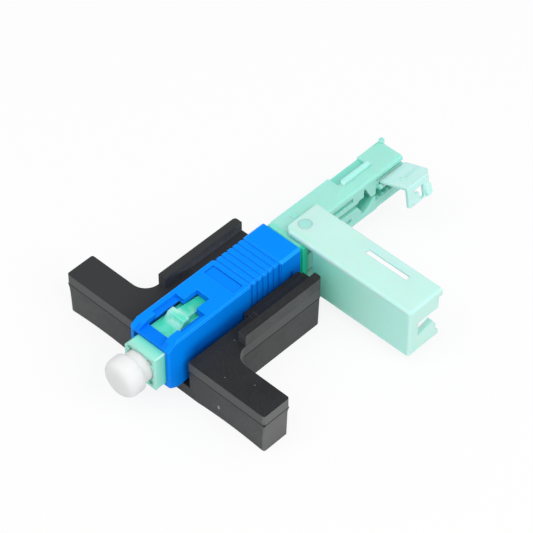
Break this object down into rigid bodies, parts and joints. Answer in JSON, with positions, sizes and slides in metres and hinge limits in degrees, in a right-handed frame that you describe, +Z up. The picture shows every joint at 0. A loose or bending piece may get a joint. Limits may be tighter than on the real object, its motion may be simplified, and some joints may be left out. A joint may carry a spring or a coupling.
{
  "type": "sc fibre connector",
  "caption": "Field-fit SC fibre connector with sliding grip, dust cap, swing-out locking lever and cable holder lid, resting in its T-handled splice opening tool.",
  "frame": {"origin": "on the plug's axis, at the front face of the sliding housing", "axes": "+Y along the plug towards the cable tail, +X to the side where the lever swings out, +Z up from the opening tool"},
  "size_m": [0.0417, 0.0566, 0.0112],
  "materials": {
    "tool_plastic": "matt black moulded plastic",
    "grip_plastic": "satin blue moulded plastic",
    "body_plastic": "satin mint green moulded plastic",
    "lever_plastic": "satin pale mint moulded plastic",
    "cap_plastic": "soft translucent white plastic",
    "ceramic": "polished white ceramic",
    "bright_metal": "turned nickel-plated metal",
    "spring_steel": "drawn spring steel",
    "fibre_glass": "clear glass",
    "splice_plastic": "matt off-white moulded plastic"
  },
  "bodies": {
    "tool": {"opening_tool": "tool_plastic"},
    "connector": {"plug_frame": "body_plastic", "tail_body": "body_plastic", "ferrule": "ceramic", "ferrule_flange": "bright_metal", "fibre_stub": "fibre_glass", "ferrule_spring": "spring_steel", "splice_base": "splice_plastic", "splice_cover_front": "splice_plastic", "splice_cover_rear": "splice_plastic", "clamp_sleeve": "spring_steel", "fibre_guide": "splice_plastic"},
    "grip": {"grip_housing": "grip_plastic"},
    "lever": {"locking_lever": "lever_plastic"},
    "lid": {"holder_lid": "body_plastic"},
    "cap": {"dust_cap": "cap_plastic"}
  },
  "joints": [
    {"name": "tool_release", "type": "slide", "parent": "tool", "child": "connector", "axis": [0, 0, 1], "range_m": [0, 0.012]},
    {"name": "grip_slide", "type": "slide", "parent": "connector", "child": "grip", "axis": [0, 1, 0], "range_m": [0, 0.0008]},
    {"name": "lever_hinge", "type": "hinge", "parent": "connector", "child": "lever", "pos_m": [0.00089, 0.02959, 0], "axis": [0, 0, 1], "range_deg": [0, 90]},
    {"name": "lid_hinge", "type": "hinge", "parent": "connector", "child": "lid", "pos_m": [0.00155, 0.0475, 0.00142], "axis": [0, 1, 0], "range_deg": [0, 110]},
    {"name": "cap_pull", "type": "slide", "parent": "connector", "child": "cap", "axis": [0, -1, 0], "range_m": [0, 0.009]}
  ],
  "couplings": [
    {"joint": "lid_hinge", "follows": "lever_hinge", "ratio": 1.2222}
  ]
}
